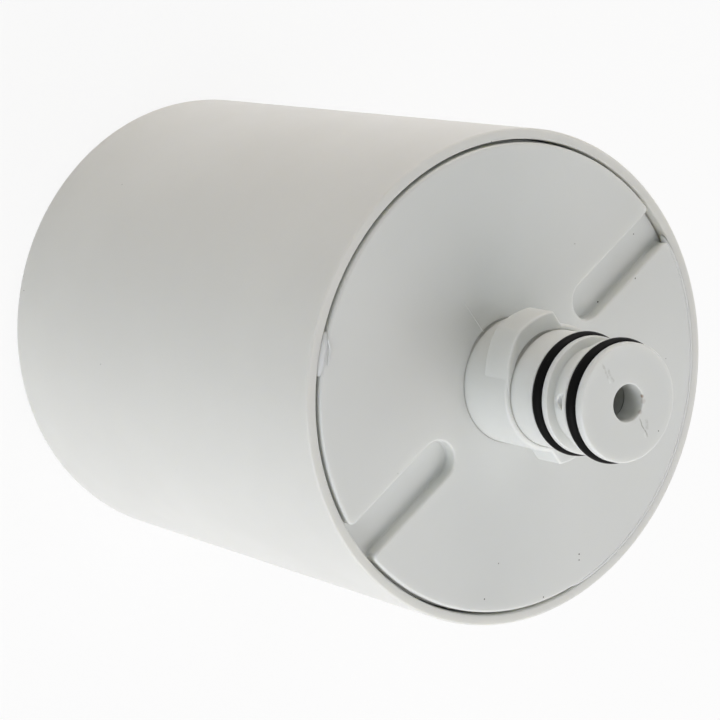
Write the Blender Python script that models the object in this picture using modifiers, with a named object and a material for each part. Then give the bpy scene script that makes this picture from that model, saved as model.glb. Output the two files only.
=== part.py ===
"""Quarter-turn refrigerator water filter: a sealed cartridge with a two-ring neck.

The cartridge stands on its closed end, +Z runs up its axis to the tip of the
neck, and the origin is the centre of the closed end. +X runs along the two
drive slots of the cap. All sizes are in metres.
"""
import math

import bmesh
import bpy
from mathutils import Matrix

# Housing, a moulded cup with a hand grip in its closed end
BODY_LENGTH = 0.0937
BODY_RADIUS = 0.0410
BODY_DRAFT = 0.0005
BODY_WALL = 0.0028
END_ROUND = 0.0022
RIM_ROUND = 0.0006
LIP_WALL = 0.0018
MOUTH_DEPTH = 0.0070
GRIP_RADIUS = 0.0315
GRIP_BAR = 0.0120
GRIP_DEPTH = 0.0140
GRIP_CORNER = 0.0030
GRIP_RIM_ROUND = 0.0008
GRIP_FLOOR_ROUND = 0.0015

# Cap plate, welded into the mouth
CAP_PROUD = 0.0005
CAP_PLATE = 0.0032
CAP_EDGE_ROUND = 0.0005
TRAP_WIDTH = 0.0005
TRAP_DEPTH = 0.0022
SKIRT_WALL = 0.0022
SKIRT_REACH = 0.0080
SLOT_WIDTH = 0.0068
SLOT_DEPTH = 0.0023
SLOT_START = 0.0163
SLOT_RIM_ROUND = 0.00035
SLOT_FLOOR_ROUND = 0.0003
SLOT_MOUTH_ROUND = 0.0010
POCKET_WALL = 0.0022

# Neck, from the cap's face up to its tip
COLLAR_RADIUS = 0.0104
COLLAR_HEIGHT = 0.0108
NECK_RADIUS = 0.0095
ROOT_LENGTH = 0.0052
MID_LAND = 0.0012
WAIST_LENGTH = 0.0037
WAIST_RADIUS = 0.0079
UPPER_LAND = 0.0008
TIP_LAND = 0.0015
TIP_CHAMFER_HEIGHT = 0.0004
TIP_CHAMFER_WIDTH = 0.0002
TIP_ROUND = 0.0002
RING_SECTION = 0.0024
RING_PROUD = 0.0005
GROOVE_SLACK = 0.0001
LUG_RADIUS = 0.0128
LUG_HEIGHT = 0.0060
LUG_SETBACK = 0.0001
LUG_CORNER = 0.0006
LUG_EDGE_ROUND = 0.0004
LUG_END = 0.0066
LUG_CROWN_ANGLE = 96.0
LUG_FOOT_ANGLE = 130.0
PORT_RADIUS = 0.0016
PORT_ANGLE = 148.0

# Water ways inside the neck
OUTLET_RADIUS = 0.0030
OUTLET_DEPTH = 0.0058
OUTLET_RELIEF = 0.0006
TUBE_WALL = 0.0014
GROOVE_WALL = 0.0012
COLLAR_WALL = 0.0028
INLET_SHOULDER_DROP = 0.0014
INLET_CEILING_DROP = 0.0007
SOCKET_RADIUS = 0.0053
SOCKET_WALL = 0.0016
SOCKET_DROP = 0.0015
SOCKET_LENGTH = 0.0114

# Filter element, inside a jacket of incoming water
WATER_JACKET = 0.0056
CORE_RADIUS = 0.0070
WRAP_THICKNESS = 0.0010
GLUE_THICKNESS = 0.0008
ELEMENT_PLATE = 0.0020
ELEMENT_RIM = 0.0080
ELEMENT_WALL = 0.0015
FOOT_HEIGHT = 0.0015
FOOT_RADIUS = 0.0220
FOOT_WIDTH = 0.0020
FIN_COUNT = 4
FIN_WIDTH = 0.0020
SPIGOT_BORE = 0.0020
SPIGOT_SLIDE = 0.0003
SPIGOT_REACH = 0.0095
SPIGOT_RING_SECTION = 0.0016
SPIGOT_LAND = 0.0016

# Clearance of pieces that touch, and how deep a joined shape is sunk
FIT = 0.0003
SINK = 0.0006

# A recess's rounded rim turns this far, and its cutter rises by this share of the round
RIM_TURN = 75.0
RIM_LIFT = 0.2

# Facets
BODY_STEPS = 64
CAP_STEPS = 56
RING_STEPS = 40
RING_SIDES = 8
ELEMENT_STEPS = 32
ROUND_STEPS = 2
SLOT_END_STEPS = 9
SLOT_MOUTH_STEPS = 3
LUG_CORNER_STEPS = 3
LUG_CROWN_STEPS = 6
LUG_TAPER_STEPS = 6
LUG_SEAT_STEPS = 10
GRIP_CORNER_STEPS = 4
GRIP_CROWN_STEPS = 14
PORT_STEPS = 16
MERGE = 0.00001

# Levels that several pieces share
cap_face = BODY_LENGTH + CAP_PROUD
cap_underside = cap_face - CAP_PLATE
ledge = BODY_LENGTH - MOUTH_DEPTH
mouth_radius = BODY_RADIUS - LIP_WALL
bore_radius = BODY_RADIUS - BODY_WALL
grip_floor = GRIP_DEPTH + BODY_WALL
collar_top = cap_face + COLLAR_HEIGHT
disc_radius = mouth_radius - TRAP_WIDTH
groove_width = RING_SECTION + GROOVE_SLACK
groove_radius = NECK_RADIUS + RING_PROUD - RING_SECTION - 2 * GROOVE_SLACK
lower_groove = collar_top + ROOT_LENGTH
mid_land = lower_groove + groove_width
waist_bottom = mid_land + MID_LAND
waist_top = waist_bottom + WAIST_LENGTH
upper_groove = waist_top + UPPER_LAND
tip_land = upper_groove + groove_width
tip_face = tip_land + TIP_LAND
relief_radius = OUTLET_RADIUS + OUTLET_RELIEF
tube_radius = relief_radius + TUBE_WALL
inlet_radius = groove_radius - GROOVE_WALL
socket_top = cap_underside - SOCKET_DROP
socket_end = socket_top - SOCKET_LENGTH
element_bottom = grip_floor + FIT
element_top = socket_end - FIT
block_bottom = element_bottom + FOOT_HEIGHT + ELEMENT_PLATE + GLUE_THICKNESS + 2 * FIT
block_top = element_top - ELEMENT_PLATE - GLUE_THICKNESS - 2 * FIT
element_radius = bore_radius - BODY_DRAFT - WATER_JACKET
wrap_radius = element_radius - ELEMENT_WALL - FIT
block_radius = wrap_radius - WRAP_THICKNESS - FIT


def clear_scene():
    for obj in list(bpy.data.objects):
        bpy.data.objects.remove(obj, do_unlink=True)


def new_collection(name):
    collection = bpy.data.collections.new(name)
    bpy.context.scene.collection.children.link(collection)
    return collection


def plastic(name, colour, roughness):
    material = bpy.data.materials.new(name)
    material.use_nodes = True
    shader = material.node_tree.nodes["Principled BSDF"]
    shader.inputs["Base Color"].default_value = (*colour, 1.0)
    shader.inputs["Roughness"].default_value = roughness
    shader.inputs["Metallic"].default_value = 0.0
    material.diffuse_color = (*colour, 1.0)
    return material


def add_object(name, mesh, collection, material=None):
    obj = bpy.data.objects.new(name, mesh)
    collection.objects.link(obj)
    if material:
        mesh.materials.append(material)
    return obj


def rounded(corners):
    """Points of an open outline; a corner is (radius, height) or has a fillet as third."""
    points = []
    for index, corner in enumerate(corners):
        fillet = corner[2] if len(corner) > 2 else 0.0
        if not fillet:
            points.append((corner[0], corner[1]))
            continue
        here = complex(corner[0], corner[1])
        before = complex(*corners[index - 1][:2]) - here
        after = complex(*corners[index + 1][:2]) - here
        before /= abs(before)
        after /= abs(after)
        half = math.acos(max(-1.0, min(1.0, (before * after.conjugate()).real))) / 2
        middle = (before + after) / abs(before + after)
        centre = here + middle * fillet / math.sin(half)
        start = here + before * fillet / math.tan(half) - centre
        end = here + after * fillet / math.tan(half) - centre
        sweep = math.atan2((start.conjugate() * end).imag, (start.conjugate() * end).real)
        for step in range(ROUND_STEPS + 1):
            turn = sweep * step / ROUND_STEPS
            point = centre + start * complex(math.cos(turn), math.sin(turn))
            points.append((point.real, point.imag))
    return points


def turned(name, corners, closed, steps, collection, material=None):
    """A profile in the XZ plane, outer side down, turned about Z by a Screw modifier."""
    points = rounded(corners)
    mesh = bpy.data.meshes.new(name)
    edges = [(i, i + 1) for i in range(len(points) - 1)]
    if closed:
        edges.append((len(points) - 1, 0))
    mesh.from_pydata([(x, 0.0, z) for x, z in points], edges, [])
    obj = add_object(name, mesh, collection, material)
    screw = obj.modifiers.new("Turn", "SCREW")
    screw.axis = "Z"
    screw.angle = math.tau
    screw.steps = steps
    screw.render_steps = steps
    screw.use_merge_vertices = True
    screw.merge_threshold = MERGE
    screw.use_smooth_shade = True
    return obj


def prism(name, outline, bottom, top, collection):
    """A flat outline of (x, y) points, anticlockwise, raised from bottom to top."""
    mesh = bpy.data.meshes.new(name)
    work = bmesh.new()
    base = work.faces.new([work.verts.new((x, y, bottom)) for x, y in outline])
    raised = bmesh.ops.extrude_face_region(work, geom=[base])
    corners = [item for item in raised["geom"] if isinstance(item, bmesh.types.BMVert)]
    bmesh.ops.translate(work, verts=corners, vec=(0.0, 0.0, top - bottom))
    bmesh.ops.recalc_face_normals(work, faces=work.faces)
    work.to_mesh(mesh)
    work.free()
    return add_object(name, mesh, collection)


def loft(name, sections, collection):
    """A closed solid through flat outlines of equal point counts, as (height, points)."""
    mesh = bpy.data.meshes.new(name)
    work = bmesh.new()
    rings = [[work.verts.new((x, y, height)) for x, y in points] for height, points in sections]
    for lower, upper in zip(rings, rings[1:]):
        for i in range(len(lower)):
            work.faces.new((lower[i - 1], lower[i], upper[i], upper[i - 1]))
    work.faces.new(rings[0])
    work.faces.new(rings[-1])
    bmesh.ops.recalc_face_normals(work, faces=work.faces)
    work.to_mesh(mesh)
    work.free()
    return add_object(name, mesh, collection)


def round_turns(full):
    return [math.radians(full * step / ROUND_STEPS) for step in range(ROUND_STEPS + 1)]


def recess(name, outline, turn, face, inward, depth, rim, corner, collection):
    """Cutter of a recess with a rounded floor edge and rim; outline(grown) gives its plan."""
    plans = [(depth - corner * (1 - math.cos(t)), -corner * (1 - math.sin(t)))
             for t in round_turns(90.0)]
    plans += [(rim * (1 - math.sin(t)), rim * (1 - math.cos(t))) for t in round_turns(RIM_TURN)]
    last_depth, last_grown = plans[-1]
    rise = last_depth + rim * RIM_LIFT
    plans.append((last_depth - rise, last_grown + rise * math.tan(math.radians(RIM_TURN))))
    sections = [(face + inward * down, turn_points(outline(grown), turn)) for down, grown in plans]
    return loft(name, sections, collection)


def as_cutter(obj):
    obj.hide_render = True
    obj.display_type = "WIRE"
    return obj


def boolean(target, tool, operation):
    cut = target.modifiers.new(f"{operation.title()} {tool.name}", "BOOLEAN")
    cut.operation = operation
    cut.solver = "EXACT"
    cut.object = as_cutter(tool)


def arc(radius, start, end, steps):
    """Points on a circle about the axis, with the angles in degrees."""
    angles = [math.radians(start + (end - start) * i / steps) for i in range(steps + 1)]
    return [(radius * math.cos(a), radius * math.sin(a)) for a in angles]


def turn_points(points, degrees):
    c = math.cos(math.radians(degrees))
    s = math.sin(math.radians(degrees))
    return [(c * x - s * y, s * x + c * y) for x, y in points]


def slot_outline(grown):
    """A radial slot along +X: round inner end, and a mouth rounded into the disc's edge."""
    half = SLOT_WIDTH / 2
    inner_centre = SLOT_START + half
    side = half + SLOT_MOUTH_ROUND
    mouth_start = math.sqrt(disc_radius ** 2 - side ** 2) - SLOT_MOUTH_ROUND
    end = [(inner_centre + x, y) for x, y in arc(half + grown, 90, 270, SLOT_END_STEPS)]
    corner = arc(SLOT_MOUTH_ROUND - grown, 90, 0, SLOT_MOUTH_STEPS)
    lower = [(mouth_start + x, y - side) for x, y in corner] + [(mouth_radius + SINK, -side)]
    upper = [(x, -y) for x, y in reversed(lower)]
    return end + lower + upper


def pocket_outline():
    """The thicker plate under a slot, with a round inner end."""
    half = SLOT_WIDTH / 2 + POCKET_WALL
    inner_centre = SLOT_START + SLOT_WIDTH / 2
    outer = bore_radius - FIT - SKIRT_WALL + SINK
    end = [(inner_centre + x, y) for x, y in arc(half, 90, 270, SLOT_END_STEPS)]
    return end + [(outer, -half), (outer, half)]


def well_outline(grown):
    """One D-shaped side of the grip, with rounded corners."""
    radius = GRIP_RADIUS + grown
    edge = GRIP_BAR / 2 - grown
    corner = GRIP_CORNER + grown
    reach = math.sqrt((radius - corner) ** 2 - (edge + corner) ** 2)
    lean = math.degrees(math.atan2(edge + corner, reach))
    right = [(reach + x, edge + corner + y) for x, y in arc(corner, -90, lean, GRIP_CORNER_STEPS)]
    crown = arc(radius, lean, 180 - lean, GRIP_CROWN_STEPS)[1:-1]
    left = [(-x, y) for x, y in reversed(right)]
    return right + crown + left


def build_housing(parts, cutters, material):
    outer_foot = BODY_RADIUS - BODY_DRAFT
    inner_foot = outer_foot - BODY_WALL
    housing = turned("housing", [
        (0.0, BODY_WALL),
        (inner_foot, BODY_WALL, END_ROUND),
        (bore_radius, ledge),
        (mouth_radius, ledge),
        (mouth_radius, BODY_LENGTH),
        (BODY_RADIUS, BODY_LENGTH, RIM_ROUND),
        (outer_foot, 0.0, END_ROUND),
        (0.0, 0.0),
    ], False, BODY_STEPS, parts, material)
    for side, turn in (("front", 180), ("back", 0)):
        boss = prism(f"grip_boss_{side}", turn_points(well_outline(BODY_WALL), turn),
                     BODY_WALL - SINK, grip_floor, cutters)
        boolean(housing, boss, "UNION")
        well = recess(f"grip_well_{side}", well_outline, turn, 0.0, 1, GRIP_DEPTH,
                      GRIP_RIM_ROUND, GRIP_FLOOR_ROUND, cutters)
        boolean(housing, well, "DIFFERENCE")
    return housing


def lug_outline(inset):
    """Plan of one bayonet lug: flat end across X, round crown, back easing into the collar."""
    corner_x = LUG_END - LUG_CORNER
    corner_y = math.sqrt((LUG_RADIUS - LUG_CORNER) ** 2 - corner_x ** 2)
    lean = math.degrees(math.atan2(corner_y, corner_x))
    corner = [(corner_x + x, corner_y + y)
              for x, y in arc(LUG_CORNER - inset, 0, lean, LUG_CORNER_STEPS)]
    crown = arc(LUG_RADIUS - inset, lean, LUG_CROWN_ANGLE, LUG_CROWN_STEPS)[1:]
    seat_radius = COLLAR_RADIUS - SINK
    taper = []
    for step in range(1, LUG_TAPER_STEPS):
        share = step / LUG_TAPER_STEPS
        ease = (1 + math.cos(math.pi * share)) / 2
        radius = seat_radius + (LUG_RADIUS - inset - seat_radius) * ease
        angle = math.radians(LUG_CROWN_ANGLE + (LUG_FOOT_ANGLE - LUG_CROWN_ANGLE) * share)
        taper.append((radius * math.cos(angle), radius * math.sin(angle)))
    end_angle = math.degrees(math.acos((LUG_END - inset) / seat_radius))
    return corner + crown + taper + arc(seat_radius, LUG_FOOT_ANGLE, end_angle, LUG_SEAT_STEPS)


def lug(name, turn, top, collection):
    """One lug with rounded edges, below the given height."""
    edge = [(LUG_EDGE_ROUND * (1 - math.cos(t)), LUG_EDGE_ROUND * (1 - math.sin(t)))
            for t in round_turns(90.0)]
    levels = [(top - LUG_HEIGHT + rise, inset) for rise, inset in edge]
    levels += [(top - rise, inset) for rise, inset in reversed(edge)]
    return loft(name, [(z, turn_points(lug_outline(inset), turn)) for z, inset in levels],
                collection)


def build_end_cap(parts, cutters, material):
    flange_radius = mouth_radius - FIT
    skirt_radius = bore_radius - FIT
    skirt_bore = skirt_radius - SKIRT_WALL
    skirt_end = ledge - SKIRT_REACH
    trap_floor = cap_face - TRAP_DEPTH
    outlet_step = tip_face - OUTLET_DEPTH
    inlet_ceiling = waist_top - INLET_CEILING_DROP
    inlet_shoulder = lower_groove - INLET_SHOULDER_DROP
    collar_core = COLLAR_RADIUS - COLLAR_WALL
    socket_outer = SOCKET_RADIUS + SOCKET_WALL
    cap = turned("end_cap", [
        (OUTLET_RADIUS, tip_face),
        (NECK_RADIUS - TIP_CHAMFER_WIDTH, tip_face, TIP_ROUND),
        (NECK_RADIUS, tip_face - TIP_CHAMFER_HEIGHT),
        (NECK_RADIUS, tip_land),
        (groove_radius, tip_land),
        (groove_radius, upper_groove),
        (NECK_RADIUS, upper_groove),
        (NECK_RADIUS, waist_top),
        (WAIST_RADIUS, waist_top),
        (WAIST_RADIUS, waist_bottom),
        (NECK_RADIUS, waist_bottom),
        (NECK_RADIUS, mid_land),
        (groove_radius, mid_land),
        (groove_radius, lower_groove),
        (NECK_RADIUS, lower_groove),
        (NECK_RADIUS, collar_top),
        (COLLAR_RADIUS, collar_top),
        (COLLAR_RADIUS, cap_face),
        (disc_radius, cap_face, CAP_EDGE_ROUND),
        (disc_radius, trap_floor),
        (flange_radius, trap_floor),
        (flange_radius, ledge + FIT),
        (skirt_radius, ledge + FIT),
        (skirt_radius, skirt_end),
        (skirt_bore, skirt_end),
        (skirt_bore, cap_underside),
        (collar_core, cap_underside),
        (collar_core, inlet_shoulder - (collar_core - inlet_radius)),
        (inlet_radius, inlet_shoulder),
        (inlet_radius, inlet_ceiling),
        (tube_radius, inlet_ceiling),
        (tube_radius, socket_top + (socket_outer - tube_radius)),
        (socket_outer, socket_top),
        (socket_outer, socket_end),
        (SOCKET_RADIUS, socket_end),
        (SOCKET_RADIUS, socket_top - SOCKET_WALL),
        (relief_radius, socket_top - SOCKET_WALL + (SOCKET_RADIUS - relief_radius)),
        (relief_radius, outlet_step),
        (OUTLET_RADIUS, outlet_step),
    ], True, CAP_STEPS, parts, material)

    pocket_floor = cap_face - SLOT_DEPTH - POCKET_WALL
    for side, turn in (("right", 0), ("left", 180)):
        boolean(cap, prism(f"slot_pocket_{side}", turn_points(pocket_outline(), turn), pocket_floor,
                           cap_underside + SINK, cutters), "UNION")
        boolean(cap, lug(f"lug_{side}", turn, collar_top - LUG_SETBACK, cutters), "UNION")
        boolean(cap, recess(f"drive_slot_{side}", slot_outline, turn, cap_face, -1, SLOT_DEPTH,
                            SLOT_RIM_ROUND, SLOT_FLOOR_ROUND, cutters), "DIFFERENCE")
    boolean(cap, port_cutter(cutters), "DIFFERENCE")
    return cap


def port_cutter(cutters):
    """Two opposite round side ports through the wall of the waist."""
    mesh = bpy.data.meshes.new("side_ports")
    work = bmesh.new()
    inner = (tube_radius + inlet_radius) / 2
    outer = NECK_RADIUS
    for turn in (PORT_ANGLE, PORT_ANGLE + 180):
        made = bmesh.ops.create_cone(work, cap_ends=True, segments=PORT_STEPS, radius1=PORT_RADIUS,
                                     radius2=PORT_RADIUS, depth=outer - inner)
        angle = math.radians(turn)
        middle = (inner + outer) / 2
        centre = (middle * math.cos(angle), middle * math.sin(angle), (waist_bottom + waist_top) / 2)
        aim = Matrix.Rotation(angle, 3, "Z") @ Matrix.Rotation(math.pi / 2, 3, "Y")
        bmesh.ops.rotate(work, verts=made["verts"], matrix=aim)
        bmesh.ops.translate(work, verts=made["verts"], vec=centre)
    work.to_mesh(mesh)
    work.free()
    return add_object("side_ports", mesh, cutters)


def build_ring(name, centre_radius, section, height, steps, parts, material):
    """An O-ring: a torus primitive about the axis."""
    bpy.ops.mesh.primitive_torus_add(major_radius=centre_radius, minor_radius=section / 2,
                                     major_segments=steps, minor_segments=RING_SIDES,
                                     location=(0.0, 0.0, height))
    ring = bpy.context.object
    ring.name = name
    ring.data.name = name
    ring.data.materials.append(material)
    ring.data.shade_smooth()
    for collection in list(ring.users_collection):
        collection.objects.unlink(ring)
    parts.objects.link(ring)
    return ring


def build_sleeve(name, inner, outer, bottom, top, parts, material):
    """A plain tube."""
    return turned(name, [(inner, top), (outer, top), (outer, bottom), (inner, bottom)], True,
                  ELEMENT_STEPS, parts, material)


def build_lower_block_cap(parts, cutters, material):
    plate_bottom = element_bottom + FOOT_HEIGHT
    plate_top = plate_bottom + ELEMENT_PLATE
    foot_inner = FOOT_RADIUS - FOOT_WIDTH
    cap = turned("lower_block_cap", [
        (0.0, plate_top),
        (element_radius - ELEMENT_WALL, plate_top),
        (element_radius - ELEMENT_WALL, plate_top + ELEMENT_RIM),
        (element_radius, plate_top + ELEMENT_RIM),
        (element_radius, plate_bottom),
        (FOOT_RADIUS, plate_bottom),
        (FOOT_RADIUS, element_bottom),
        (foot_inner, element_bottom),
        (foot_inner, plate_bottom),
        (0.0, plate_bottom),
    ], False, ELEMENT_STEPS, parts, material)
    reach = bore_radius - BODY_DRAFT - FIT
    for index in range(FIN_COUNT):
        turn = 360 * (index + 0.5) / FIN_COUNT
        half = FIN_WIDTH / 2
        inner = element_radius - SINK
        outline = [(inner, -half), (reach, -half), (reach, half), (inner, half)]
        fin = prism(f"centring_fin_{index + 1}", turn_points(outline, turn), plate_bottom + SINK,
                    plate_top + ELEMENT_RIM - SINK, cutters)
        boolean(cap, fin, "UNION")
    return cap


def build_upper_block_cap(parts, material):
    plate_bottom = element_top - ELEMENT_PLATE
    spigot_radius = SOCKET_RADIUS - SPIGOT_SLIDE
    spigot_top = socket_end + SPIGOT_REACH
    groove_top = spigot_top - SPIGOT_LAND
    groove_bottom = groove_top - SPIGOT_RING_SECTION - GROOVE_SLACK
    groove_floor = spigot_radius - SPIGOT_RING_SECTION
    return turned("upper_block_cap", [
        (SPIGOT_BORE, spigot_top),
        (spigot_radius, spigot_top),
        (spigot_radius, groove_top),
        (groove_floor, groove_top),
        (groove_floor, groove_bottom),
        (spigot_radius, groove_bottom),
        (spigot_radius, element_top),
        (element_radius, element_top),
        (element_radius, plate_bottom - ELEMENT_RIM),
        (element_radius - ELEMENT_WALL, plate_bottom - ELEMENT_RIM),
        (element_radius - ELEMENT_WALL, plate_bottom),
        (SPIGOT_BORE, plate_bottom),
    ], True, ELEMENT_STEPS, parts, material)


def build_spigot_ring(parts, material):
    spigot_top = socket_end + SPIGOT_REACH
    height = spigot_top - SPIGOT_LAND - (SPIGOT_RING_SECTION + GROOVE_SLACK) / 2
    outer = SOCKET_RADIUS - SPIGOT_SLIDE / 2
    build_ring("spigot_o_ring", outer - SPIGOT_RING_SECTION / 2, SPIGOT_RING_SECTION, height,
               ELEMENT_STEPS, parts, material)


def build_neck_rings(parts, material):
    centre_radius = NECK_RADIUS + RING_PROUD - RING_SECTION / 2
    for name, groove in (("lower_neck_o_ring", lower_groove), ("upper_neck_o_ring", upper_groove)):
        build_ring(name, centre_radius, RING_SECTION, groove + groove_width / 2, RING_STEPS,
                   parts, material)


def main():
    clear_scene()
    parts = new_collection("refrigerator_water_filter")
    cutters = new_collection("cutters")
    shell = plastic("white_polypropylene", (0.72, 0.72, 0.70), 0.42)
    neck = plastic("white_cap_polypropylene", (0.72, 0.73, 0.71), 0.38)
    rubber = plastic("black_nitrile_rubber", (0.012, 0.012, 0.012), 0.45)
    inner_rubber = plastic("inner_nitrile_rubber", (0.012, 0.012, 0.012), 0.50)
    carbon = plastic("carbon_block", (0.02, 0.02, 0.02), 0.90)
    fleece = plastic("polypropylene_fleece", (0.75, 0.75, 0.72), 0.95)
    element = plastic("element_cap_polypropylene", (0.70, 0.70, 0.68), 0.50)
    glue = plastic("hot_melt_adhesive", (0.72, 0.66, 0.50), 0.55)

    build_housing(parts, cutters, shell)
    build_end_cap(parts, cutters, neck)
    build_neck_rings(parts, rubber)
    build_lower_block_cap(parts, cutters, element)
    build_upper_block_cap(parts, element.copy())
    build_spigot_ring(parts, inner_rubber)
    build_sleeve("carbon_block", CORE_RADIUS, block_radius, block_bottom, block_top, parts, carbon)
    build_sleeve("prefilter_wrap", block_radius + FIT, wrap_radius, block_bottom, block_top,
                 parts, fleece)
    build_sleeve("lower_glue_bed", CORE_RADIUS, block_radius, block_bottom - FIT - GLUE_THICKNESS,
                 block_bottom - FIT, parts, glue)
    build_sleeve("upper_glue_bed", CORE_RADIUS, block_radius, block_top + FIT,
                 block_top + FIT + GLUE_THICKNESS, parts, glue.copy())


main()
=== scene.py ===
"""A refrigerator water filter cartridge, finished for looking at.

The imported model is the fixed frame. The housing, the end cap and the two neck rings
are modelled again here with their fine edges, and the weld's flash is added. The filter
element sealed inside keeps its solids and gets its finishes. All sizes are in metres.
"""
import math

import bmesh
import bpy
from mathutils import Matrix, Vector, noise


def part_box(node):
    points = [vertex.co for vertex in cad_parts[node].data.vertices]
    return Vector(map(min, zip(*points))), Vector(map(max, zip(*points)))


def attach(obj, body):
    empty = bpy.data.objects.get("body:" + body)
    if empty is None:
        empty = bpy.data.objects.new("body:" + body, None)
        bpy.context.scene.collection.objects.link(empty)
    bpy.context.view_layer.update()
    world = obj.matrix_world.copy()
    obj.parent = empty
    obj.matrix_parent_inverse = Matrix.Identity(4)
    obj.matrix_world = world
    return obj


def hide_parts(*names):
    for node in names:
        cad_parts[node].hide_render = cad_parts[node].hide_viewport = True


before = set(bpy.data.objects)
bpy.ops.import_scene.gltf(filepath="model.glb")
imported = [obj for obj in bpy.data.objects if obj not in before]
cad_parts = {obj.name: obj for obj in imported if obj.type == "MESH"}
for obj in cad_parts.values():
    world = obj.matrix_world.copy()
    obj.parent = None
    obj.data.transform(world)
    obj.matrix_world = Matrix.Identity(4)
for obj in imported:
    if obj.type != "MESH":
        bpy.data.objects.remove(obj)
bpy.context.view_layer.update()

bl_info = {
    "name": "Water Filter Cartridge",
    "version": (1, 0, 0),
    "blender": (4, 5, 0),
    "location": "3D View > Sidebar > Water Filter",
    "description": "Models a sealed quarter-turn water filter cartridge in a plain studio",
    "category": "Add Mesh",
}

HOUSING_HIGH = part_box("housing")[1]
CAP_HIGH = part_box("end_cap")[1]
LOWER_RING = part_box("lower_neck_o_ring")
UPPER_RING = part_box("upper_neck_o_ring")

# Vertices closer than this are merged.
MERGE = 0.000001
# How far a tool piece reaches into or past what it meets.
SINK = 0.0006
# Edges that turn more than this stay sharp in the shading.
SMOOTH_ANGLE = math.radians(32.0)
# How far a recess's rim turns outwards, and how far its cutter rises above it, in rounds.
RIM_TURN = math.radians(78.0)
RIM_LIFT = 0.25
# How far out of the wall at a step a crevice's middle lies.
CREVICE_OUT = 0.0002

# Steps in the curves of the shapes.
WELL_CORNER_STEPS = 12
WELL_CROWN_STEPS = 72
SLOT_END_STEPS = 31
SLOT_MOUTH_STEPS = 8
LUG_CORNER_STEPS = 8
LUG_CURVE_STEPS = 24
LUG_EDGE_STEPS = 6
PORT_STEPS = 48
CREVICE_STEPS = 48
LINE_SIDES = 12
BEAD_SIDES = 14
FLASH_STEPS = 48
SEAL_STEPS = 120

# Lamps stand this far from a place near the plate.
LAMP_DISTANCE = 0.9
LAMP_TARGET = (0.0, 0.0, 0.08)
SENSOR_WIDTH = 36.0


def length_property(name, description, default):
    """A length in metres."""
    return bpy.props.FloatProperty(name=name, description=description, default=default,
                                   min=0.0, precision=5, unit="LENGTH", subtype="DISTANCE")


def angle_property(name, description, degrees):
    """An angle, given in degrees and kept in radians."""
    return bpy.props.FloatProperty(name=name, description=description,
                                   default=math.radians(degrees), unit="ROTATION",
                                   subtype="ANGLE")


def count_property(name, description, default):
    """A whole number of steps or facets."""
    return bpy.props.IntProperty(name=name, description=description, default=default, min=1)


def colour_property(name, description, default):
    """A colour in linear red, green and blue."""
    return bpy.props.FloatVectorProperty(name=name, description=description, default=default,
                                         size=3, min=0.0, max=1.0, subtype="COLOR")


def factor_property(name, description, default):
    """A share from 0 to 1."""
    return bpy.props.FloatProperty(name=name, description=description, default=default,
                                   min=0.0, max=1.0, subtype="FACTOR")


class HousingSettings(bpy.types.PropertyGroup):
    """Sizes of the moulded cup and the hand grip in its closed end."""

    radius: length_property("Radius", "Outer radius at the mouth", HOUSING_HIGH.x)
    length: length_property("Length", "From the closed end to the rim", HOUSING_HIGH.z)
    draft: length_property("Draft", "How much narrower the closed end is", 0.0005)
    wall: length_property("Wall", "Wall thickness", 0.0028)
    end_round: length_property("End round", "Round of the closed end's edge", 0.0022)
    rim_round: length_property("Rim round", "Outer round of the rim", 0.0004)
    lip_round: length_property("Lip round", "Inner round of the rim", 0.0003)
    lip_wall: length_property("Lip wall", "Wall of the mouth round the cap", 0.0018)
    mouth_depth: length_property("Mouth depth", "Depth of the seat of the cap", 0.0070)
    grip_radius: length_property("Grip radius", "Outer radius of the finger wells", 0.0315)
    grip_bar: length_property("Grip bar", "Width of the bar between the wells", 0.0120)
    grip_depth: length_property("Grip depth", "Depth of the finger wells", 0.0140)
    grip_corner: length_property("Grip corner", "Plan round of the wells' corners", 0.0030)
    grip_rim_round: length_property("Grip rim", "Round of the wells' rims", 0.0008)
    grip_floor_round: length_property("Grip floor", "Round of the wells' floors", 0.0015)
    facets: count_property("Facets", "Steps round the axis", 288)
    round_steps: count_property("Round steps", "Steps in each round", 5)


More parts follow.
